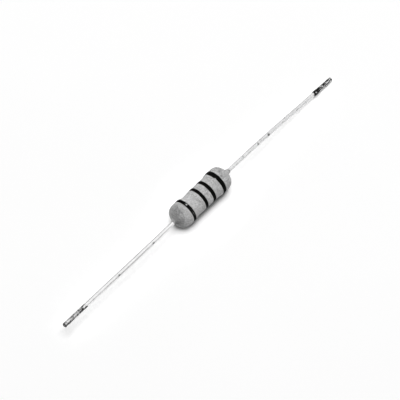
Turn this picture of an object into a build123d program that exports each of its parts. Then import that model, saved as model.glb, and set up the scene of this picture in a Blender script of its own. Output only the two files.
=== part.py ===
from build123d import *
from math import sqrt
import os

# Axial metal oxide film resistor, lying as it rests on a flat surface.
# Millimetres. The origin is the middle of the body, on its axis. +X runs along the body
# to the wire that bends down to the surface, and +Z is up.

# Ceramic rod
core_diameter = 4.0
core_length = 12.0
core_edge_chamfer = 0.25

# Resistive film on the rod, thicker than the real micrometre so that it is a solid
film_thickness = 0.05
kerf_width = 0.25
kerf_pitch = 1.4
kerf_margin = 0.45
kerf_overcut = 0.02

# Pressed metal cups over the filmed ends of the rod
cap_wall = 0.25
cap_depth = 2.8
cap_corner_chamfer = 0.25

# Wires, welded to the caps
lead_diameter = 0.8
left_reach = 37.5
right_reach = 38.2
lead_tip_chamfer = 0.08
lead_bend_radius = 60.0
weld_diameter = 1.7
weld_height = 0.45

# Left wire: straight but for a slight jog beside the body
left_jog_from = 8.3
left_jog_to = 12.0
left_jog_drop = 0.04

# Right wire: sags a little at first, then bends down until its tip lies on the surface
right_bend_at = 9.0
right_second_bend_at = 17.2
right_first_sag = 0.2
right_tip_side = 0.143

# Cement coating, by its thickness over what it covers
coating_over_cap = 0.22
coating_over_end = 1.11
coating_at_waist_left = 0.21
coating_at_waist = 0.285
waist_rise_length = 1.5
shoulder_over_cap = 0.6
shoulder_past_cap = 0.4
dome_depth = 1.87
dome_nose_radius = 3.2
collar_diameter = 1.5
left_collar_length = 0.35
right_collar_length = 0.75
collar_edge = 0.06

# Painted rings: the outer two sit on the bulges, the inner two at shares of the waist's half length
paint_thickness = 0.03
band_1_from_rim = 0.98
band_1_width = 0.76
band_2_along_waist = -0.193
band_2_width = 0.76
band_3_along_waist = 0.579
band_3_width = 0.83
band_4_from_rim = 1.08
band_4_width = 0.92

# Sizes that follow
core_radius = core_diameter / 2
film_radius = core_radius + film_thickness
cap_radius = film_radius + cap_wall
lead_radius = lead_diameter / 2
cap_face_x = core_length / 2 + cap_wall
cap_rim_x = core_length / 2 - cap_depth
shoulder_top_x = cap_rim_x + shoulder_over_cap
waist_end_x = cap_rim_x - shoulder_past_cap
half_body = cap_face_x + coating_over_end
bulge_radius = cap_radius + coating_over_cap
rest_height = bulge_radius + paint_thickness
right_tip_drop = rest_height - lead_radius


def s_curve(start, end):
    """Curve that leaves start and reaches end along the axis, with one bend each way between."""
    start = Vector(start)
    end = Vector(end)
    middle_x = (start.X + end.X) / 2
    return Bezier(start, (middle_x, start.Y), (middle_x, end.Y), end)


def dome(side, rise):
    """Two arcs from a bulge to its collar: a tight shoulder, then a flatter nose about the axis."""
    bulge = bulge_radius + rise
    collar = collar_diameter / 2 + rise
    nose_radius = dome_nose_radius + rise
    centre_gap = dome_nose_radius - dome_depth
    shoulder_radius = (nose_radius**2 - bulge**2 - centre_gap**2) / (2 * (nose_radius - bulge))
    nose_centre = Vector(side * (half_body - dome_nose_radius), 0)
    foot = Vector(side * (half_body - dome_depth), bulge)
    shoulder_centre = foot - Vector(0, shoulder_radius)
    junction = nose_centre + (shoulder_centre - nose_centre).normalized() * nose_radius
    root = nose_centre + Vector(side * sqrt(nose_radius**2 - collar**2), collar)
    shoulder = TangentArc(foot, junction, tangent=(side, 0))
    TangentArc(junction, root, tangent=shoulder % 1)
    return foot, root


def outer_face(rise):
    """Half section of the coating's outer form, above the axis, with each radius raised by rise."""
    bulge = bulge_radius + rise
    waist_left = film_radius + coating_at_waist_left + rise
    waist = film_radius + coating_at_waist + rise
    collar_lip = lead_radius + collar_edge + rise
    with BuildSketch(Plane.XY) as section:
        with BuildLine():
            left_foot, left_root = dome(-1, rise)
            right_foot, right_root = dome(1, rise)
            left_bulge = Line(left_foot, (-shoulder_top_x, bulge))
            left_shoulder = s_curve(left_bulge @ 1, (-waist_end_x, waist_left))
            waist_rise = Line(left_shoulder @ 1, (waist_rise_length - waist_end_x, waist))
            waist_run = Line(waist_rise @ 1, (waist_end_x, waist))
            right_shoulder = s_curve(waist_run @ 1, (shoulder_top_x, bulge))
            Line(right_shoulder @ 1, right_foot)
            Polyline(
                right_root,
                (half_body + right_collar_length, collar_lip),
                (half_body + right_collar_length, 0),
                (-half_body - left_collar_length, 0),
                (-half_body - left_collar_length, collar_lip),
                left_root,
            )
        make_face()
    return section.sketch


# The rod carries the film, and the film touches the caps
with BuildPart() as ceramic_core:
    with BuildSketch(Plane.YZ.offset(-core_length / 2)):
        Circle(core_radius)
    extrude(amount=core_length)
    chamfer(ceramic_core.edges().filter_by(GeomType.CIRCLE), length=core_edge_chamfer)

ceramic_core.part.label = "ceramic_core"

# The trimming groove goes right through the film, in even turns between the two caps
with BuildPart() as oxide_film:
    film_end_x = core_length / 2 - core_edge_chamfer
    with BuildSketch(Plane.YZ.offset(-film_end_x)):
        Circle(film_radius)
        Circle(core_radius, mode=Mode.SUBTRACT)
    extrude(amount=2 * film_end_x)
    kerf_start_x = cap_rim_x - kerf_margin - kerf_width / 2
    with BuildLine() as kerf_route:
        Helix(
            pitch=kerf_pitch,
            height=2 * kerf_start_x,
            radius=core_radius + film_thickness / 2,
            center=(-kerf_start_x, 0, 0),
            direction=(1, 0, 0),
        )
    kerf_start = kerf_route.line @ 0
    kerf_out = Vector(0, kerf_start.Y, kerf_start.Z)
    with BuildSketch(Plane(origin=kerf_start, x_dir=kerf_out, z_dir=kerf_route.line % 0)):
        Rectangle(film_thickness + 2 * kerf_overcut, kerf_width)
    sweep(path=kerf_route.line, is_frenet=True, mode=Mode.SUBTRACT)

oxide_film.part.label = "oxide_film"


def cap_form(side):
    """Outer form of a cup: a short cylinder with its closed end's corner broken."""
    with BuildPart() as form:
        with BuildSketch(Plane.YZ.offset(side * cap_rim_x)):
            Circle(cap_radius)
        extrude(amount=side * (cap_face_x - cap_rim_x))
        closed_end = form.faces().sort_by(Axis.X)[-1 if side > 0 else 0]
        chamfer(closed_end.edges(), length=cap_corner_chamfer)
    return form.part


def end_cap(side):
    """One pressed cup, open towards the body's middle."""
    with BuildPart() as cap:
        add(cap_form(side))
        with BuildSketch(Plane.YZ.offset(side * cap_rim_x)):
            Circle(film_radius)
        extrude(amount=side * cap_depth, mode=Mode.SUBTRACT)
    return cap.part


end_cap_left = end_cap(-1)
end_cap_left.label = "end_cap_left"
end_cap_right = end_cap(1)
end_cap_right.label = "end_cap_right"


def welded_wire(side, route):
    """Round wire along its route, from its upset foot on a cap to a cut tip."""
    face_x = side * cap_face_x
    flare_x = side * (cap_face_x + weld_height)
    with BuildPart() as wire:
        with BuildSketch(Plane.XY):
            with BuildLine():
                Polyline(
                    (face_x, 0),
                    (face_x, weld_diameter / 2),
                    (flare_x, lead_radius),
                    (flare_x, 0),
                    close=True,
                )
            make_face()
        revolve(axis=Axis.X)
        with BuildSketch(Plane(origin=route @ 0, z_dir=route % 0)):
            Circle(lead_radius)
        sweep(path=route)
        cut_end = wire.faces().sort_by(Axis.X)[-1 if side > 0 else 0]
        chamfer(cut_end.edges(), length=lead_tip_chamfer)
    return wire.part


with BuildLine() as left_route:
    FilletPolyline(
        (-cap_face_x, 0, 0),
        (-left_jog_from, 0, 0),
        (-left_jog_to, 0, -left_jog_drop),
        (-left_reach, 0, -left_jog_drop),
        radius=lead_bend_radius,
    )

with BuildLine() as right_route:
    FilletPolyline(
        (cap_face_x, 0, 0),
        (right_bend_at, 0, 0),
        (right_second_bend_at, 0, -right_first_sag),
        (right_reach, right_tip_side, -right_tip_drop),
        radius=lead_bend_radius,
    )

lead_left = welded_wire(-1, left_route.line)
lead_left.label = "lead_left"
lead_right = welded_wire(1, right_route.line)
lead_right.label = "lead_right"

# The coating fills all the room between its outer form and the pieces inside, the kerf too
with BuildPart() as coating:
    with BuildSketch(Plane.XY):
        add(outer_face(0))
    revolve(axis=Axis.X)
    with BuildSketch(Plane.YZ.offset(-core_length / 2)):
        Circle(core_radius)
    extrude(amount=core_length, mode=Mode.SUBTRACT)
    for covered in (cap_form(-1), cap_form(1), oxide_film.part, lead_left, lead_right):
        add(covered, mode=Mode.SUBTRACT)

coating.part.label = "coating"


def painted_band(middle_x, width):
    """Ring of paint that follows the coating under it."""
    with BuildPart() as band:
        with BuildSketch(Plane.XY):
            add(outer_face(paint_thickness))
            add(outer_face(0), mode=Mode.SUBTRACT)
            with Locations((middle_x, 0)):
                Rectangle(width, 2 * (rest_height + paint_thickness), mode=Mode.INTERSECT)
        revolve(axis=Axis.X)
    return band.part


band_1 = painted_band(-cap_rim_x - band_1_from_rim, band_1_width)
band_2 = painted_band(band_2_along_waist * waist_end_x, band_2_width)
band_3 = painted_band(band_3_along_waist * waist_end_x, band_3_width)
band_4 = painted_band(cap_rim_x + band_4_from_rim, band_4_width)

band_1.label = "band_1"
band_2.label = "band_2"
band_3.label = "band_3"
band_4.label = "band_4"

os.makedirs("parts", exist_ok=True)
export_step(ceramic_core.part, "parts/ceramic_core.step")
export_step(oxide_film.part, "parts/oxide_film.step")
export_step(end_cap_left, "parts/end_cap_left.step")
export_step(end_cap_right, "parts/end_cap_right.step")
export_step(lead_left, "parts/lead_left.step")
export_step(lead_right, "parts/lead_right.step")
export_step(coating.part, "parts/coating.step")
export_step(band_1, "parts/band_1.step")
export_step(band_2, "parts/band_2.step")
export_step(band_3, "parts/band_3.step")
export_step(band_4, "parts/band_4.step")
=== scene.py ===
import math
import bpy
import numpy as np
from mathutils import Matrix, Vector, noise


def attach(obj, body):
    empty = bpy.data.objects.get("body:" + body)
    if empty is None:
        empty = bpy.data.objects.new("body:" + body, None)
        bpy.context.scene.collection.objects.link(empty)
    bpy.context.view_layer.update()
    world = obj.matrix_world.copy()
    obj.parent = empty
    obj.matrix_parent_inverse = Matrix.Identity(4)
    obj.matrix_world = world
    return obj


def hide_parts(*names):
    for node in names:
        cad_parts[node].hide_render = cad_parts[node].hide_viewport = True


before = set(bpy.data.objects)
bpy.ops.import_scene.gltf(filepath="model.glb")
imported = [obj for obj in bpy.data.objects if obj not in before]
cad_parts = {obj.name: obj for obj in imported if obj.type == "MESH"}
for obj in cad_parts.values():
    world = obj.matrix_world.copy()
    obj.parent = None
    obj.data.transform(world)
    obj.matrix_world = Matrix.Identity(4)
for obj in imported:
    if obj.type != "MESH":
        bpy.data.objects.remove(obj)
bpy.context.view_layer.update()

# Blender works in metres. The sizes below are in millimetres and become metres through MM.
# Angles round the body and the wires are in degrees, from +Y towards +Z.
MM = 0.001

# Coating, as in the CAD
HALF_BODY = 7.36
BULGE_R = 2.52
WAIST_LEFT_R = 2.26
WAIST_R = 2.335
SHOULDER_TOP = 3.8
SHOULDER_FOOT = 2.8
WAIST_RISE = 1.5
DOME_DEPTH = 1.87
NOSE_R = 3.2
COLLAR_R = 0.75
LIP_R = 0.46
LEFT_COLLAR = 0.35
RIGHT_COLLAR = 0.75
PAINT = 0.03
FLOOR_Z = -2.55

# Wires, as in the CAD
WIRE_R = 0.4
LEFT_REACH = 37.5
RIGHT_REACH = 38.2
WELD_R = 0.85
WELD_X = 6.25
WELD_TOP = 6.70
TIP_TRIM = 0.08

# How finely the pieces are divided: points round each, and rows or steps along it
COATING_TURNS = 200
LIP_ROWS = 14
NOSE_ROWS = 34
SHOULDER_ROWS = 30
BULGE_ROWS = 20
SLOPE_ROWS = 16
WAIST_ROWS = 40
SMOOTHINGS = 3
BAND_TURNS = 360
BAND_ROWS = 15
WIRE_TURNS = 56
WIRE_STEP = 0.1
RESIDUE_TURNS = 72
RESIDUE_STEP = 0.06

# How deep an edge goes into what is under it, so that no gap shows
COATING_TUCK = 0.03
BAND_TUCK = 0.02

# Radius at which the noise of the bands' edges and wear is read
PAINT_NOISE_R = 2.5

# Bends of the wires: distance from the body's middle, change of the sideways slope, change of
# the upward slope, and half of the length that the bend is spread over
LEFT_BENDS = (
    (6.8, -0.05, 0.0, 0.3),
    (7.9, 0.05, 0.0, 0.3),
    (8.3, 0.0, -0.04 / 3.7, 0.32),
    (12.0, 0.0, 0.04 / 3.7, 0.32),
    (20.5, 0.055 / 6.0, 0.0, 1.0),
    (26.5, -0.055 / 6.0, 0.0, 1.0),
)
RIGHT_BENDS = (
    (9.0, 0.0, -0.2 / 8.2, 0.73),
    (17.2, 0.143 / 21.0, -1.95 / 21.0 + 0.2 / 8.2, 2.06),
)

# Places in the tables below start with the distance along (x on the body, reach on a wire), the
# angle, the half length and the half angle.

# Dents where the cement was chipped, with their depth
NICKS = (
    (-1.61, 42.0, 0.35, 8.0, 0.07),
    (3.3, 75.0, 0.3, 6.0, 0.03),
    (-5.3, 200.0, 0.4, 9.0, 0.05),
)
# Small dark spots on the cement, with their strength
STAINS = (
    (-1.61, 42.0, 0.35, 9.0, 0.9),
    (5.14, 109.0, 0.45, 11.0, 0.8),
    (5.63, 87.0, 0.45, 12.0, 0.7),
    (-1.64, 126.0, 0.35, 10.0, 0.55),
    (8.0, 120.0, 0.3, 40.0, 1.0),
    (1.0, 215.0, 0.8, 20.0, 0.35),
    (-4.9, 300.0, 0.7, 25.0, 0.35),
)
# Wide places where it is a little darker. The first two and the last are painted shade on the near
# end's nose and underside, which face away from the lamp.
GRIME_AND_SHADE = (
    (-6.5, 76.0, 2.3, 75.0, 0.85),
    (-7.5, 160.0, 1.9, 120.0, 0.95),
    (5.9, 85.0, 1.3, 50.0, 0.35),
    (-4.3, 20.0, 0.9, 50.0, 0.25),
    (-6.5, 200.0, 1.5, 45.0, 0.55),
)
# Wide places where it is paler. The first, on the upper side towards the lamp, is painted light.
PALE_AND_LIT = (
    (-3.0, 50.0, 1.7, 75.0, 0.75),
    (-5.3, 125.0, 0.9, 40.0, 0.35),
    (-2.6, 130.0, 1.0, 45.0, 0.20),
)

# Tool marks on the wires, with their depth and darkness. On the left wire the rows without depth
# are painted dark reflections along the wire's upper and lower sides.
LEFT_MARKS_AND_REFLECTIONS = (
    (22.95, 148.0, 0.38, 50.0, 0.02, 1.0),
    (13.50, 148.0, 0.38, 50.0, 0.02, 1.0),
    # Painted dark reflections along the wire's sides: this row, the next and the last two
    (19.4, 158.0, 1.6, 30.0, 0.0, 0.25),
    (18.2, 60.0, 1.2, 30.0, 0.0, 0.20),
    (30.0, 150.0, 0.3, 35.0, 0.01, 0.3),
    (20.5, 166.0, 11.0, 28.0, 0.0, 0.32),
    (19.0, 58.0, 9.0, 22.0, 0.0, 0.10),
)
RIGHT_MARKS = (
    (12.18, 95.0, 0.24, 45.0, 0.02, 0.45),
    (16.38, 135.0, 0.28, 70.0, 0.025, 0.75),
    (19.43, 145.0, 0.38, 85.0, 0.03, 1.0),
    (24.5, 70.0, 0.3, 40.0, 0.01, 0.3),
    (28.0, 130.0, 0.4, 40.0, 0.01, 0.3),
)

# Lumps and bare places of the tape's residue, with what they add to its thickness and darkness
LEFT_DABS = (
    (37.45, 180.0, 0.35, 200.0, 0.015, 0.45),
    (37.36, 72.0, 0.32, 42.0, 0.02, 0.4),
    (37.30, 116.0, 0.26, 18.0, 0.0, -1.2),
    (36.2, 162.0, 1.3, 52.0, 0.06, 0.38),
    (36.4, 102.0, 0.9, 30.0, -0.02, -0.55),
    (35.62, 117.0, 0.28, 55.0, 0.06, 0.38),
    (34.85, 112.0, 0.55, 32.0, -0.02, -0.60),
    (34.05, 112.0, 0.45, 45.0, 0.02, 0.05),
    (35.2, 66.0, 1.9, 22.0, 0.03, 0.25),
    (34.34, 150.0, 0.30, 32.0, 0.06, 0.55),
    (34.36, 158.0, 0.14, 14.0, 0.0, -0.7),
    (33.58, 84.0, 0.32, 30.0, 0.05, 0.40),
    (33.45, 146.0, 0.50, 30.0, 0.06, 0.60),
    (32.95, 138.0, 0.38, 42.0, 0.08, 0.85),
    (32.95, 88.0, 0.40, 28.0, 0.02, 0.15),
    (32.20, 164.0, 0.62, 36.0, 0.10, 1.2),
    (32.45, 72.0, 0.40, 22.0, 0.05, 0.35),
    (32.34, 112.0, 0.42, 24.0, -0.08, -0.85),
)
RIGHT_DABS = (
    (33.45, 125.0, 0.55, 150.0, 0.05, 1.5),
    (34.25, 84.0, 0.95, 48.0, 0.07, 1.5),
    (34.30, 155.0, 0.85, 30.0, 0.03, 1.0),
    (33.56, 124.0, 0.26, 21.0, -0.03, -3.6),
    (35.05, 120.0, 0.45, 40.0, 0.04, 0.2),
    (35.35, 152.0, 0.45, 26.0, 0.04, 0.7),
    (36.05, 88.0, 0.48, 42.0, 0.06, 1.4),
    (35.60, 106.0, 0.30, 18.0, 0.0, -0.6),
    (36.40, 148.0, 0.60, 24.0, 0.04, 0.6),
    (37.02, 116.0, 0.48, 20.0, 0.0, -1.1),
    (37.25, 76.0, 0.65, 28.0, 0.05, 1.2),
    (38.25, 180.0, 0.45, 200.0, -0.03, 0.6),
    (33.85, 180.0, 0.90, 200.0, 0.035, 0.3),
    (35.35, 180.0, 0.95, 200.0, -0.04, 0.0),
    (37.95, 98.0, 0.26, 18.0, 0.0, -1.2),
    (35.90, 206.0, 3.4, 60.0, -0.065, 0.1),
    (35.00, 148.0, 1.0, 26.0, 0.03, 0.35),
    (37.85, 192.0, 0.85, 60.0, -0.07, -0.4),
)

# Floor, lamp and camera. The floor and the lamp are in metres.
FLOOR_HALF_SIDE = 2.0
LAMP_PLACE = (0.14, 0.08, 1.0)
LAMP_AIM = (0.14, 0.08, 0)
LAMP_SIDE = 0.9
LAMP_POWER = 9.6
AZIMUTH = math.radians(-48.09)
ELEVATION = math.radians(57.89)
DISTANCE = 590.0
PX_PER_MM = 5.27
FRAME_PX = 400
BODY_MIDDLE_PX = (200.2, 197.28)
SENSOR = 36.0


# ---------------------------------------------------------------- small helpers
def cloud(point, scale, seed, octaves):
    """Smooth noise, about -1 to 1, at a point in millimetres."""
    shifted = point * scale + Vector((7.3 * seed, -4.1 * seed, 2.9 * seed))
    fade, finer = 0.9, 2.1
    return noise.fractal(shifted, fade, finer, octaves, noise_basis="PERLIN_ORIGINAL")


def ease(value, low, high):
    """0 below low, 1 above high and a smooth step between; low may be the larger."""
    t = min(1.0, max(0.0, (value - low) / (high - low)))
    return t * t * (3 - 2 * t)


def dab(value, middle, half_width):
    """1 at the middle, 0 beyond the half width, round between."""
    t = abs(value - middle) / half_width
    return (1 - t * t) ** 2 if t < 1 else 0.0


def turn_between(a, b):
    """Smallest angle from b to a in degrees, signed."""
    return (a - b + 180) % 360 - 180


def patch(along, degrees, middle, angle, half_length, half_angle):
    """1 in the middle of a small place on a round surface, and 0 outside the place."""
    return dab(along, middle, half_length) * dab(turn_between(degrees, angle), 0, half_angle)


def circle(count):
    """Even angles round a piece."""
    return [360 * j / count for j in range(count)]


def about_axis(x, r, degrees):
    """The point at a radius and an angle round the body's axis."""
    turn = math.radians(degrees)
    return Vector((x, r * math.cos(turn), r * math.sin(turn)))


def grid_mesh(name, rows, closed_ends=(False, False)):
    """A tube through rings of points in millimetres, each ring a list that closes on itself."""
    count = len(rows[0])
    verts = [tuple(p * MM for p in point) for ring in rows for point in ring]
    faces = []
    for i in range(len(rows) - 1):
        a, b = i * count, (i + 1) * count
        for j in range(count):
            k = (j + 1) % count
            faces.append((a + j, a + k, b + k, b + j))
    for closed, start in zip(closed_ends, (0, (len(rows) - 1) * count)):
        if closed:
            middle = len(verts)
            ring = verts[start:start + count]
            verts.append(tuple(sum(axis) / count for axis in zip(*ring)))
            for j in range(count):
                triangle = (start + j, start + (j + 1) % count, middle)
                faces.append(triangle if start else triangle[::-1])
    mesh = bpy.data.meshes.new(name)
    mesh.from_pydata(verts, [], faces)
    mesh.polygons.foreach_set("use_smooth", [True] * len(mesh.polygons))
    mesh.update()
    piece = bpy.data.objects.new(name, mesh)
    bpy.context.scene.collection.objects.link(piece)
    return piece


def paint_values(piece, name, values):
    """Keeps one number per vertex for the materials. The closing vertices get the last one."""
    values = list(values)
    values += [values[-1]] * (len(piece.data.vertices) - len(values))
    layer = piece.data.attributes.new(name, "FLOAT", "POINT")
    layer.data.foreach_set("value", values)


# ---------------------------------------------------------------- coating
def half_profile(side, collar):
    """One end of the coating from the lip on the wire to the bulge, as (x, radius) pairs."""
    gap = NOSE_R - DOME_DEPTH
    shoulder = (NOSE_R**2 - BULGE_R**2 - gap**2) / (2 * (NOSE_R - BULGE_R))
    nose_x = HALF_BODY - NOSE_R
    foot_x = HALF_BODY - DOME_DEPTH
    join = math.atan2(BULGE_R - shoulder, foot_x - nose_x)
    start = math.asin(COLLAR_R / NOSE_R)
    root_x = nose_x + NOSE_R * math.cos(start)
    lip_x = HALF_BODY + collar
    points = []
    for i in range(LIP_ROWS):
        t = i / LIP_ROWS
        points.append((lip_x + (root_x - lip_x) * t, LIP_R + (COLLAR_R - LIP_R) * t**1.5))
    for i in range(NOSE_ROWS):
        angle = start + (join - start) * i / NOSE_ROWS
        points.append((nose_x + NOSE_R * math.cos(angle), NOSE_R * math.sin(angle)))
    for i in range(SHOULDER_ROWS):
        angle = join + (math.pi / 2 - join) * i / SHOULDER_ROWS
        x = foot_x + shoulder * math.cos(angle)
        points.append((x, BULGE_R - shoulder + shoulder * math.sin(angle)))
    points.append((foot_x, BULGE_R))
    return [(side * x, r) for x, r in points]


def wave(start, end, count):
    """S shaped step between two (x, radius) pairs, without its last point."""
    return [
        (start[0] + (end[0] - start[0]) * t, start[1] + (end[1] - start[1]) * t * t * (3 - 2 * t))
        for t in (i / count for i in range(count))
    ]


def straight(start, end, count):
    """Even steps between two (x, radius) pairs, without the last."""
    return [
        tuple(a + (b - a) * i / count for a, b in zip(start, end)) for i in range(count)
    ]


left_end = half_profile(-1, LEFT_COLLAR)
right_end = half_profile(1, RIGHT_COLLAR)[::-1]
top_left = (-SHOULDER_TOP, BULGE_R)
foot_left = (-SHOULDER_FOOT, WAIST_LEFT_R)
waist_start = (WAIST_RISE - SHOULDER_FOOT, WAIST_R)
foot_right = (SHOULDER_FOOT, WAIST_R)
top_right = (SHOULDER_TOP, BULGE_R)
line = np.array(
    left_end[:-1]
    + straight(left_end[-1], top_left, BULGE_ROWS)
    + wave(top_left, foot_left, SLOPE_ROWS)
    + straight(foot_left, waist_start, SLOPE_ROWS)
    + straight(waist_start, foot_right, WAIST_ROWS)
    + wave(foot_right, top_right, SLOPE_ROWS)
    + straight(top_right, right_end[0], BULGE_ROWS)
    + right_end
)
for _ in range(SMOOTHINGS):
    line[1:-1] = 0.25 * line[:-2] + 0.5 * line[1:-1] + 0.25 * line[2:]
tangent = np.gradient(line, axis=0)
tangent /= np.linalg.norm(tangent, axis=1)[:, None]
LINE_X, LINE_R = line[:, 0], line[:, 1]
NORMAL_X, NORMAL_R = -tangent[:, 1], tangent[:, 0]


def swell(base):
    """How far the dried cement stands off its plain form at a base point, in millimetres."""
    radius = math.hypot(base.y, base.z)
    hold = ease(radius, 0.5, 1.3)
    along = Vector((base.x * 2.6, base.y * 0.5, base.z * 0.5))
    return hold * (
        0.022 * cloud(base, 0.45, 1, 2)
        + 0.013 * cloud(base, 1.3, 2, 2)
        + 0.005 * cloud(along, 1.0, 3, 3)
        + 0.0035 * cloud(base, 5.0, 4, 2)
    )


def skin(x, r, nx, nr, degrees, lift=0.0):
    """A point on the cement, lifted off it by so many millimetres."""
    base = about_axis(x, r, degrees)
    out = about_axis(nx, nr, degrees)
    nick = sum(depth * patch(x, degrees, *place) for *place, depth in NICKS)
    return base + out * (swell(base) - nick + lift)


def make_coating():
    """The skin of the cement. Its two ends go into the wires."""
    turns = circle(COATING_TURNS)
    rows = [
        [tuple(skin(*station, degrees)) for degrees in turns]
        for station in zip(LINE_X, LINE_R, NORMAL_X, NORMAL_R)
    ]
    first, last = (
        [tuple(about_axis(x, WIRE_R - COATING_TUCK, degrees)) for degrees in turns]
        for x in (LINE_X[0], LINE_X[-1])
    )
    rows = [first, *rows, last]
    piece = grid_mesh("cement_coating", rows)
    # Kept per vertex: stains, darker places that are partly painted shade, and paler places that
    # are partly painted light
    for name, places in (("stain", STAINS), ("grime_and_shade", GRIME_AND_SHADE), ("pale_and_lit", PALE_AND_LIT)):
        values = []
        for ring in rows:
            for x, y, z in ring:
                degrees = math.degrees(math.atan2(z, y))
                values.append(
                    max(strength * patch(x, degrees, *place) for *place, strength in places)
                )
        paint_values(piece, name, values)
    return piece


# ---------------------------------------------------------------- painted bands
def no_shift(degrees):
    """A left edge without a step."""
    return 0.0


def no_wear(x, degrees):
    """Whole paint."""
    return 0.0


def band_1_wear(x, degrees):
    """One bare fleck near the top, thin paint beside it and a patchy stretch on the near side."""
    fleck = 1.5 * patch(x, degrees, -4.11, 95.5, 0.22, 4.5)
    thin = 0.5 * patch(x, degrees, -4.15, 91.0, 0.35, 12.0)
    here = about_axis(x, PAINT_NOISE_R, degrees)
    patchy = ease(cloud(here, 4.0, 11, 2), -0.05, 0.4) * 0.75
    return min(1.0, fleck + thin + patchy * patch(x, degrees, -4.14, 140.0, 0.34, 38.0))


def band_4_shift(degrees):
    """The paint is wider above one place near the top, where its left edge steps in."""
    wider = -0.16 * ease(degrees, 96.0, 94.0) * ease(degrees, 20.0, 60.0)
    notch = 0.11 * dab(degrees, 97.6, 3.2)
    return wider + notch


# Middle, width, step of the left edge and wear of each band
BANDS = (
    (-4.18, 0.76, no_shift, band_1_wear),
    (-0.54, 0.76, no_shift, no_wear),
    (1.62, 0.83, no_shift, no_wear),
    (4.28, 0.92, band_4_shift, no_wear),
)


def make_band(name, seed, middle, width, left_shift, wear_at):
    """A ring of paint with uneven edges, worn where the paint is thin."""
    rows = []
    values = []
    for i in range(BAND_ROWS):
        s = -1 + 2 * i / (BAND_ROWS - 1)
        s = math.copysign(abs(s) ** 0.7, s)
        ring = []
        for degrees in circle(BAND_TURNS):
            around = about_axis(seed, PAINT_NOISE_R, degrees)
            shift = left_shift(degrees) if s < 0 else 0.0
            ragged = 0.018 * cloud(around, 2.2, seed + (3 if s < 0 else 5), 3)
            x = middle + s * width / 2 + abs(s) * (shift + ragged)
            r, nx, nr = (
                float(np.interp(x, LINE_X, column)) for column in (LINE_R, NORMAL_X, NORMAL_R)
            )
            wear = wear_at(x, degrees)
            uneven = 1 - 0.25 * max(0.0, cloud(about_axis(x, r, degrees), 3.0, seed, 2))
            build = PAINT * (1 - 0.9 * abs(s) ** 6) * uneven
            lift = build - 0.045 * wear if i not in (0, BAND_ROWS - 1) else -BAND_TUCK
            ring.append(tuple(skin(x, r, nx, nr, degrees, lift)))
            values.append(wear)
        rows.append(ring)
    piece = grid_mesh(name, rows)
    paint_values(piece, "wear", values)
    return piece


# ---------------------------------------------------------------- wires
def drift(bends, reach):
    """Sideways and upward offset of a wire's middle at a distance from the body's middle."""
    y = z = 0.0
    for at, side_slope, rise_slope, half in bends:
        past = reach - at
        if past > half:
            run = past
        elif past < -half:
            run = 0.0
        else:
            run = (past + half) ** 2 / (4 * half)
        y += side_slope * run
        z += rise_slope * run
    return y, z


def wire_frame(side, bends, reach):
    """Middle, tangent and two cross directions of a wire."""
    step = 0.05
    y, z = drift(bends, reach)
    y2, z2 = drift(bends, reach + step)
    along = Vector((side * step, y2 - y, z2 - z)).normalized()
    over = Vector((0, 1, 0)) - along * along.y
    over.normalize()
    up = Vector((0, 0, 1)) - along * along.z
    up -= over * up.dot(over)
    up.normalize()
    return Vector((side * reach, y, z)), along, over, up


def spokes(over, up, count):
    """Angles round a wire in degrees and radians, each with its direction away from the wire."""
    for degrees in circle(count):
        angle = math.radians(degrees)
        yield degrees, angle, over * math.cos(angle) + up * math.sin(angle)


def make_wire(name, side, bends, end, marks_and_reflections, seed):
    """A round drawn wire with a welded foot, small tool marks, painted dark reflections where the
    table gives them, and a sheared end.
    """
    rows = []
    values = []
    # Even rows along the wire, and others where they are needed at its foot and its tip
    reaches = [WELD_X, WELD_X + 0.1, WELD_X + 0.25, WELD_TOP, WELD_TOP + 0.2]
    reaches += list(np.arange(WELD_TOP + 0.4, end - 0.3, WIRE_STEP))
    reaches += [end - 0.2, end - 0.1, end - 0.04, end]
    for reach in reaches:
        middle, along, over, up = wire_frame(side, bends, reach)
        spread = ease(reach, WELD_TOP, WELD_X)
        body = WIRE_R + (WELD_R - WIRE_R) * spread
        trim = max(0.0, reach - (end - TIP_TRIM)) * 0.9
        ring = []
        for degrees, angle, out in spokes(over, up, WIRE_TURNS):
            r = body - trim
            mark_and_reflection = 0.0
            for *place, depth, tone in marks_and_reflections:
                near = patch(reach, degrees, *place)
                r -= depth * near
                mark_and_reflection = max(mark_and_reflection, tone * near)
            r += 0.003 * cloud(Vector((reach * 0.5, out.y * 0.8, out.z * 0.8)), 1.0, seed, 2)
            point = middle + out * r
            if reach == end:
                point -= along * (0.03 * (1 + math.sin(angle + seed)))
            ring.append(tuple(point))
            values.append(mark_and_reflection)
        rows.append(ring)
    piece = grid_mesh(name, rows, (True, True))
    paint_values(piece, "mark_and_reflection", values)
    return piece


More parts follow.
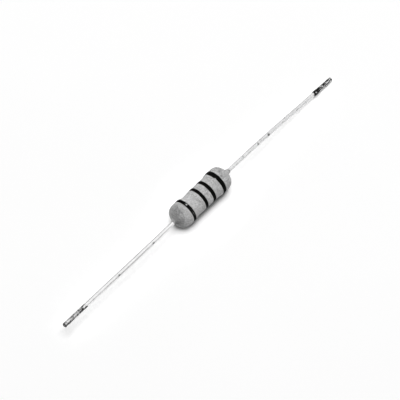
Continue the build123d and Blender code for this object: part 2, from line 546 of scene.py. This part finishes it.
# ---------------------------------------------------------------- tape residue
def make_residue(name, side, bends, start, end, dabs, seed, thickness, shade, past_tip, lean):
    """Adhesive and paper left by the carrier tape: a torn sleeve that lets the wire through."""
    thickest = 0.13
    fade_in = 0.15
    closing_from = 0.05
    rows = []
    values = []
    for reach in np.arange(start - lean - fade_in, end + past_tip, RESIDUE_STEP):
        middle, _, over, up = wire_frame(side, bends, reach)
        ring = []
        for degrees, angle, out in spokes(over, up, RESIDUE_TURNS):
            here = Vector((reach * 1.1, out.y, out.z))
            film = thickness + 0.045 * cloud(here, 1.9, seed, 3)
            film += 0.015 * cloud(here, 5.0, seed + 1, 2)
            dark = shade + 0.65 * cloud(here, 2.7, seed + 2, 3)
            for *place, build, tone in dabs:
                near = patch(reach, degrees, *place)
                film += build * near
                dark += tone * near
            edge = start - lean * dab(turn_between(degrees, 175), 0, 90)
            film *= ease(reach, edge - fade_in, edge + 0.2 + 0.15 * math.sin(2 * angle + seed))
            if reach > end - closing_from:
                closing = (reach - end + closing_from) / (past_tip + closing_from)
                r = (WIRE_R + max(0.02, film)) * math.sqrt(max(0.0, 1 - closing**2)) + 0.02
            else:
                r = WIRE_R + min(thickest, film - 0.012)
            point = middle + out * r
            point.z = max(point.z, FLOOR_Z)
            ring.append(tuple(point))
            values.append(min(1.0, max(0.0, dark)))
        rows.append(ring)
    piece = grid_mesh(name, rows, (False, True))
    paint_values(piece, "dark", values)
    return piece


# ---------------------------------------------------------------- materials
def grey(tone):
    return (tone, tone, tone)


def fill_ramp(node, stops):
    """Sets the stops of a colour ramp, each a position and a colour."""
    steps = node.color_ramp.elements
    while len(steps) < len(stops):
        steps.new(0.5)
    for step, (at, colour) in zip(steps, stops):
        step.position = at
        step.color = (*colour, 1.0)


class Paint:
    """One node material, with short calls for the nodes that it is built from."""

    def __init__(self, name):
        self.material = bpy.data.materials.new(name)
        self.material.use_nodes = True
        self.nodes = self.material.node_tree.nodes
        self.links = self.material.node_tree.links
        self.shader = self.nodes["Principled BSDF"]

    def link(self, output, target):
        self.links.new(output, target)

    def place(self, stretch=(1.0, 1.0, 1.0)):
        """Object position in millimetres, stretched."""
        where = self.nodes.new("ShaderNodeTexCoord")
        scale = self.nodes.new("ShaderNodeMapping")
        scale.inputs["Scale"].default_value = [s / MM for s in stretch]
        self.link(where.outputs["Object"], scale.inputs["Vector"])
        return scale.outputs["Vector"]

    def noise(self, place, scale, detail, rough=0.55, twist=0.0):
        node = self.nodes.new("ShaderNodeTexNoise")
        node.inputs["Scale"].default_value = scale
        node.inputs["Detail"].default_value = detail
        node.inputs["Roughness"].default_value = rough
        node.inputs["Distortion"].default_value = twist
        self.link(place, node.inputs["Vector"])
        return node.outputs["Fac"]

    def span(self, value, low, high, to_low, to_high):
        """A value between low and high, carried over to the range from to_low to to_high."""
        node = self.nodes.new("ShaderNodeMapRange")
        node.clamp = True
        sockets = ("From Min", "From Max", "To Min", "To Max")
        for socket, number in zip(sockets, (low, high, to_low, to_high)):
            node.inputs[socket].default_value = number
        self.link(value, node.inputs["Value"])
        return node.outputs["Result"]

    def math(self, kind, a, b):
        node = self.nodes.new("ShaderNodeMath")
        node.operation = kind
        for socket, value in zip(node.inputs, (a, b)):
            if isinstance(value, (int, float)):
                socket.default_value = value
            else:
                self.link(value, socket)
        return node.outputs["Value"]

    def ramp(self, value, *stops):
        node = self.nodes.new("ShaderNodeValToRGB")
        fill_ramp(node, stops)
        self.link(value, node.inputs["Fac"])
        return node.outputs["Color"]

    def grey_ramp(self, value, *stops):
        """A ramp whose stops are positions and greys."""
        return self.ramp(value, *((at, grey(tone)) for at, tone in stops))

    def mix(self, factor, a, b):
        """Colour a, going over to colour b as the factor rises."""
        node = self.nodes.new("ShaderNodeMix")
        node.data_type = "RGBA"
        node.blend_type = "MIX"
        sockets = [s for s in node.inputs if s.type == "RGBA"]
        for socket, value in zip((node.inputs["Factor"], *sockets), (factor, a, b)):
            if isinstance(value, (int, float)):
                socket.default_value = value
            elif isinstance(value, tuple):
                socket.default_value = (*value, 1.0)
            else:
                self.link(value, socket)
        return [s for s in node.outputs if s.type == "RGBA"][0]

    def value(self, name):
        """A number kept at the vertices by paint_values."""
        node = self.nodes.new("ShaderNodeAttribute")
        node.attribute_name = name
        return node.outputs["Fac"]

    def bump(self, height, depth, strength, under=None):
        """A fine relief, its depth in millimetres, over another one if that is given."""
        node = self.nodes.new("ShaderNodeBump")
        node.inputs["Strength"].default_value = strength
        node.inputs["Distance"].default_value = depth * MM
        self.link(height, node.inputs["Height"])
        if under is not None:
            self.link(under, node.inputs["Normal"])
        return node.outputs["Normal"]

    def set(self, socket, value):
        """Sets a socket of the shader, or links what makes its value."""
        if isinstance(value, (int, float)):
            self.shader.inputs[socket].default_value = value
        elif isinstance(value, tuple):
            self.shader.inputs[socket].default_value = (*value, 1.0)
        else:
            self.link(value, self.shader.inputs[socket])


def cement():
    m = Paint("cement")
    place = m.place()
    blotch = m.noise(place, 0.75, 5.0, 0.6, 0.4)
    mottle = m.noise(place, 2.3, 5.0, 0.75)
    streak = m.noise(m.place((1.6, 0.45, 0.45)), 1.3, 4.0, 0.62)
    base = m.grey_ramp(mottle, (0.38, 0.38), (0.50, 0.54), (0.62, 0.70))
    base = m.mix(0.30, base, m.grey_ramp(streak, (0.37, 0.36), (0.63, 0.70)))
    base = m.mix(0.20, base, m.grey_ramp(blotch, (0.38, 0.38), (0.62, 0.68)))
    # Paler where the table gives it: on the upper side this is painted light
    base = m.mix(m.value("pale_and_lit"), base, grey(0.68))
    sand = m.noise(place, 4.8, 2.0, 0.60)
    base = m.mix(m.span(sand, 0.52, 0.64, 0.0, 0.54), base, grey(0.20))
    base = m.mix(m.span(sand, 0.48, 0.36, 0.0, 0.52), base, grey(0.90))
    # Darker where the table gives it: on the near end this is painted shade
    grime_and_shade = m.math("MULTIPLY", m.value("grime_and_shade"), m.span(mottle, 0.40, 0.60, 0.9, 0.45))
    base = m.mix(grime_and_shade, base, grey(0.15))
    base = m.mix(m.math("MULTIPLY", m.value("stain"), 0.75), base, grey(0.13))
    m.set("Base Color", base)
    m.set("Roughness", m.span(blotch, 0.3, 0.7, 0.78, 0.95))
    m.set("Specular IOR Level", 0.2)
    grain = m.bump(m.noise(place, 4.5, 6.0, 0.72), 0.05, 0.8)
    m.set("Normal", m.bump(m.noise(place, 14.0, 3.0, 0.6), 0.012, 0.7, grain))
    return m.material


def band_paint():
    m = Paint("band_paint")
    place = m.place()
    mottle = m.noise(place, 3.2, 4.0, 0.6)
    tone = m.grey_ramp(mottle, (0.35, 0.003), (0.75, 0.007))
    tone = m.mix(m.span(m.value("wear"), 0.05, 0.9, 0.0, 0.5), tone, grey(0.16))
    m.set("Base Color", tone)
    m.set("Roughness", m.span(mottle, 0.3, 0.7, 0.62, 0.78))
    m.set("Specular IOR Level", 0.02)
    m.set("Normal", m.bump(m.noise(place, 9.0, 4.0, 0.6), 0.01, 0.7))
    return m.material


def tinned_wire(name, tones, rim, gloss, flecks_from):
    """Tin drawn lengthwise, clouded in three tones and flecked. Gloss is its range of roughness."""
    m = Paint(name)
    drawn = m.place((0.12, 6.0, 6.0))
    place = m.place()
    lines = m.noise(drawn, 2.2, 3.0, 0.6)
    cloudy = m.noise(place, 1.4, 5.0, 0.65)
    tone = m.grey_ramp(cloudy, *zip((0.35, 0.50, 0.65), tones))
    flecks = m.noise(place, 3.5, 4.0, 0.7)
    tone = m.mix(m.span(flecks, flecks_from, flecks_from + 0.11, 0.0, 0.5), tone, grey(0.40))
    # Darker at the tool marks and, on the left wire, along the painted dark reflections
    tone = m.mix(m.value("mark_and_reflection"), tone, grey(0.05))
    m.set("Base Color", tone)
    m.set("Metallic", 1.0)
    m.set("Specular Tint", grey(rim))
    m.set("Roughness", m.span(cloudy, 0.35, 0.65, *gloss))
    fine = m.bump(lines, 0.004, 0.6)
    m.set("Normal", m.bump(m.noise(place, 5.0, 4.0, 0.6), 0.006, 0.6, fine))
    return m.material


def tape_residue():
    m = Paint("tape_residue")
    place = m.place()
    fibre = m.noise(m.place((1.5, 5.0, 5.0)), 1.3, 5.0, 0.7, 0.5)
    fine = m.noise(place, 9.0, 4.0, 0.7)
    level = m.math("ADD", m.value("dark"), m.span(fine, 0.25, 0.75, -0.22, 0.22))
    tone = m.grey_ramp(level, (0.05, 0.80), (0.35, 0.42), (0.68, 0.10), (1.0, 0.004))
    tone = m.mix(m.span(fibre, 0.58, 0.72, 0.0, 0.25), tone, grey(0.30))
    m.set("Base Color", tone)
    m.set("Roughness", m.span(fine, 0.3, 0.7, 0.55, 0.85))
    m.set("Specular IOR Level", 0.1)
    m.set("Normal", m.bump(fine, 0.03, 0.9))
    return m.material


def fired_ceramic():
    m = Paint("fired_ceramic")
    place = m.place()
    cloudy = m.noise(place, 1.2, 4.0, 0.6)
    m.set("Base Color", m.ramp(cloudy, (0.3, (0.72, 0.70, 0.66)), (0.7, (0.82, 0.80, 0.77))))
    m.set("Roughness", m.span(cloudy, 0.3, 0.7, 0.55, 0.72))
    m.set("Normal", m.bump(m.noise(place, 12.0, 4.0, 0.6), 0.01, 0.6))
    return m.material


def oxide():
    m = Paint("oxide")
    place = m.place()
    cloudy = m.noise(m.place((2.5, 0.7, 0.7)), 1.1, 5.0, 0.6)
    dark, light = (0.035, 0.034, 0.038), (0.075, 0.072, 0.078)
    m.set("Base Color", m.ramp(cloudy, (0.3, dark), (0.7, light)))
    m.set("Roughness", m.span(cloudy, 0.3, 0.7, 0.28, 0.45))
    m.set("Metallic", 0.35)
    m.set("Normal", m.bump(m.noise(place, 15.0, 3.0, 0.6), 0.004, 0.5))
    return m.material


def pressed_cap():
    m = Paint("pressed_cap")
    place = m.place()
    drawn = m.noise(m.place((0.4, 4.0, 4.0)), 1.5, 4.0, 0.6)
    m.set("Base Color", m.ramp(drawn, (0.3, (0.50, 0.49, 0.47)), (0.7, (0.66, 0.65, 0.62))))
    m.set("Metallic", 1.0)
    m.set("Roughness", m.span(drawn, 0.3, 0.7, 0.30, 0.45))
    m.set("Normal", m.bump(m.noise(place, 8.0, 4.0, 0.6), 0.008, 0.6))
    return m.material


cement_look = cement()
paint_look = band_paint()
wire_look = tinned_wire("tinned_wire", (0.84, 0.92, 0.96), 0.05, (0.05, 0.16), 0.57)
duller_wire_look = tinned_wire("duller_tinned_wire", (0.85, 0.93, 0.98), 0.8, (0.45, 0.70), 0.51)
residue_look = tape_residue()
cap_look = pressed_cap()


# ---------------------------------------------------------------- pieces
def settle(piece, look, slot, *nodes):
    """Gives a piece its material and its place in the model. The slot is not used."""
    piece.data.materials.clear()
    piece.data.materials.append(look)
    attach(piece, "root")
    if nodes:
        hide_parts(*nodes)


settle(make_coating(), cement_look, "coating", "coating")
for number, band in enumerate(BANDS, 1):
    ring = make_band(f"painted_band_{number}", number, *band)
    settle(ring, paint_look, "band_paint", f"band_{number}")
left_wire = make_wire("tinned_wire_left", -1, LEFT_BENDS, LEFT_REACH, LEFT_MARKS_AND_REFLECTIONS, seed=1)
settle(left_wire, wire_look, "wire_metal", "lead_left")
right_wire = make_wire("tinned_wire_right", 1, RIGHT_BENDS, RIGHT_REACH, RIGHT_MARKS, seed=2)
settle(right_wire, duller_wire_look, "wire_metal", "lead_right")
left_residue = make_residue(
    "tape_residue_left", -1, LEFT_BENDS, 32.0, LEFT_REACH, LEFT_DABS,
    seed=3, thickness=0.045, shade=0.34, past_tip=0.30, lean=0.30,
)
settle(left_residue, residue_look, "coating")
right_residue = make_residue(
    "tape_residue_right", 1, RIGHT_BENDS, 33.07, RIGHT_REACH, RIGHT_DABS,
    seed=4, thickness=0.055, shade=0.50, past_tip=0.20, lean=0.20,
)
settle(right_residue, residue_look, "coating")

# The nodes of the CAD keep their shapes and get materials too
for node, look in (
    ("ceramic_core", fired_ceramic()),
    ("oxide_film", oxide()),
    ("end_cap_left", cap_look),
    ("end_cap_right", cap_look),
    ("coating", cement_look),
    ("band_1", paint_look),
    ("band_2", paint_look),
    ("band_3", paint_look),
    ("band_4", paint_look),
    ("lead_left", wire_look),
    ("lead_right", duller_wire_look),
):
    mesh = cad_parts[node].data
    mesh.materials.clear()
    mesh.materials.append(look)


# ---------------------------------------------------------------- floor, light and camera
def make_floor():
    """The pale surface. To the eye and to what shines it is near white, but for the shadow, which
    is partly painted: its colour is painted darker close under the body, and its glow is shaped
    round the body.
    """
    side = FLOOR_HALF_SIDE
    corners = ((-side, -side), (side, -side), (side, side), (-side, side))
    mesh = bpy.data.meshes.new("floor")
    mesh.from_pydata([(x, y, FLOOR_Z * MM) for x, y in corners], [], [(0, 1, 2, 3)])
    floor = bpy.data.objects.new("floor", mesh)
    bpy.context.scene.collection.objects.link(floor)
    m = Paint("pale_floor")
    m.set("Roughness", 0.9)
    m.set("Specular IOR Level", 0.0)
    path = m.nodes.new("ShaderNodeLightPath")
    seen = m.math("MAXIMUM", path.outputs["Is Camera Ray"], path.outputs["Is Glossy Ray"])
    seen = m.math("MAXIMUM", seen, path.outputs["Is Transmission Ray"])
    # How open the floor is to the sky: least under the body, all where nothing stands near
    open_sky = m.nodes.new("ShaderNodeAmbientOcclusion")
    open_sky.samples = 16
    open_sky.inputs["Distance"].default_value = 8.0 * MM
    # The glow for the camera and what shines is none close under the body, which paints shadow
    # there, and most in the soft shadows round the body and the wires, which paints light into them
    lift = m.grey_ramp(
        open_sky.outputs["AO"],
        (0.35, 0.0), (0.45, 0.09), (0.54, 0.32), (0.64, 0.39),
        (0.8, 0.42), (0.885, 0.37), (0.93, 0.22), (1.0, 0.20),
    )
    # Painted contact shadow: for the camera and what shines, the floor's colour is darker close
    # under the body
    shade = m.grey_ramp(open_sky.outputs["AO"], (0.28, 0.80), (0.50, 0.0))
    paper = m.grey_ramp(m.noise(m.place(), 0.02, 3.0), (0.3, 0.86), (0.7, 0.87))
    m.set("Base Color", m.mix(m.math("MULTIPLY", seen, shade), paper, grey(0.2)))
    # Far from the body the lamp is weaker, so the lift grows over two metres
    away = m.nodes.new("ShaderNodeVectorMath")
    away.operation = "LENGTH"
    m.link(m.place((0.5 * MM, 0.5 * MM, 0.5 * MM)), away.inputs[0])
    far_lift = m.grey_ramp(
        away.outputs["Value"],
        (0.05, 0.0), (0.15, 0.10), (0.25, 0.25), (0.5, 0.46), (1.0, 0.62),
    )
    m.set("Emission Color", grey(1.0))
    m.set("Emission Strength", m.math("MULTIPLY", seen, m.math("ADD", lift, far_lift)))
    floor.data.materials.append(m.material)


def sky(nodes, links, measure, *stops):
    """Background whose tone follows a measure of the direction."""
    ramp = nodes.new("ShaderNodeValToRGB")
    fill_ramp(ramp, [(at, grey(tone)) for at, tone in stops])
    links.new(measure, ramp.inputs["Fac"])
    back = nodes.new("ShaderNodeBackground")
    links.new(ramp.outputs["Color"], back.inputs["Color"])
    return back


def make_world():
    """A pale room, in three parts: what lights, what shines and what is plainly seen.

    What shines sees a pale ceiling and the darker gap between the ceiling and the floor.
    """
    world = bpy.data.worlds.new("studio")
    bpy.context.scene.world = world
    world.use_nodes = True
    nodes, links = world.node_tree.nodes, world.node_tree.links
    nodes.clear()
    where = nodes.new("ShaderNodeTexCoord")
    split = nodes.new("ShaderNodeSeparateXYZ")
    links.new(where.outputs["Generated"], split.inputs["Vector"])
    across = nodes.new("ShaderNodeVectorMath")
    across.operation = "DOT_PRODUCT"
    across.inputs[1].default_value = (0.67, -0.74, 0.0)
    links.new(where.outputs["Generated"], across.inputs[0])
    sides = nodes.new("ShaderNodeMath")
    sides.operation = "MULTIPLY"
    links.new(across.outputs["Value"], sides.inputs[0])
    links.new(across.outputs["Value"], sides.inputs[1])
    lit = sky(nodes, links, sides.outputs["Value"], (0.0, 0.06), (1.0, 0.50))
    shine = sky(nodes, links, split.outputs["Z"], (0.0, 0.03), (0.20, 0.08), (0.47, 1.0))
    plain = sky(nodes, links, split.outputs["Z"], (0.0, 0.98), (1.0, 1.0))
    path = nodes.new("ShaderNodeLightPath")
    seen = nodes.new("ShaderNodeMath")
    seen.operation = "MAXIMUM"
    links.new(path.outputs["Is Camera Ray"], seen.inputs[0])
    links.new(path.outputs["Is Transmission Ray"], seen.inputs[1])
    last = lit.outputs["Background"]
    for ray, back in ((path.outputs["Is Glossy Ray"], shine), (seen.outputs["Value"], plain)):
        mix = nodes.new("ShaderNodeMixShader")
        links.new(ray, mix.inputs["Fac"])
        links.new(last, mix.inputs[1])
        links.new(back.outputs["Background"], mix.inputs[2])
        last = mix.outputs["Shader"]
    out = nodes.new("ShaderNodeOutputWorld")
    links.new(last, out.inputs["Surface"])


def make_softbox():
    """One soft lamp overhead. What shines doesn't see it."""
    data = bpy.data.lights.new("softbox", "AREA")
    data.shape = "SQUARE"
    data.size = LAMP_SIDE
    data.energy = LAMP_POWER
    lamp = bpy.data.objects.new("softbox", data)
    lamp.location = LAMP_PLACE
    lamp.rotation_mode = "QUATERNION"
    lamp.rotation_quaternion = (Vector(LAMP_AIM) - Vector(LAMP_PLACE)).to_track_quat("-Z", "Y")
    lamp.visible_glossy = False
    bpy.context.scene.collection.objects.link(lamp)


def make_camera():
    """The photograph's view, with the middle of the body at its place in the picture."""
    back = Vector((
        math.sin(AZIMUTH) * math.cos(ELEVATION),
        -math.cos(AZIMUTH) * math.cos(ELEVATION),
        math.sin(ELEVATION),
    ))
    right = Vector((math.cos(AZIMUTH), math.sin(AZIMUTH), 0))
    up = back.cross(right)
    off_x, off_y = ((FRAME_PX / 2 - px) / PX_PER_MM for px in BODY_MIDDLE_PX)
    aim = right * off_x - up * off_y
    data = bpy.data.cameras.new("camera")
    data.sensor_width = SENSOR
    data.lens = PX_PER_MM * DISTANCE * SENSOR / FRAME_PX
    data.clip_start = 0.01
    data.clip_end = 20.0
    camera = bpy.data.objects.new("camera", data)
    camera.location = (aim + back * DISTANCE) * MM
    camera.rotation_mode = "QUATERNION"
    camera.rotation_quaternion = (-back).to_track_quat("-Z", "Y")
    bpy.context.scene.collection.objects.link(camera)
    bpy.context.scene.camera = camera


make_floor()
make_world()
make_softbox()
make_camera()
bpy.context.scene.view_settings.view_transform = "Standard"
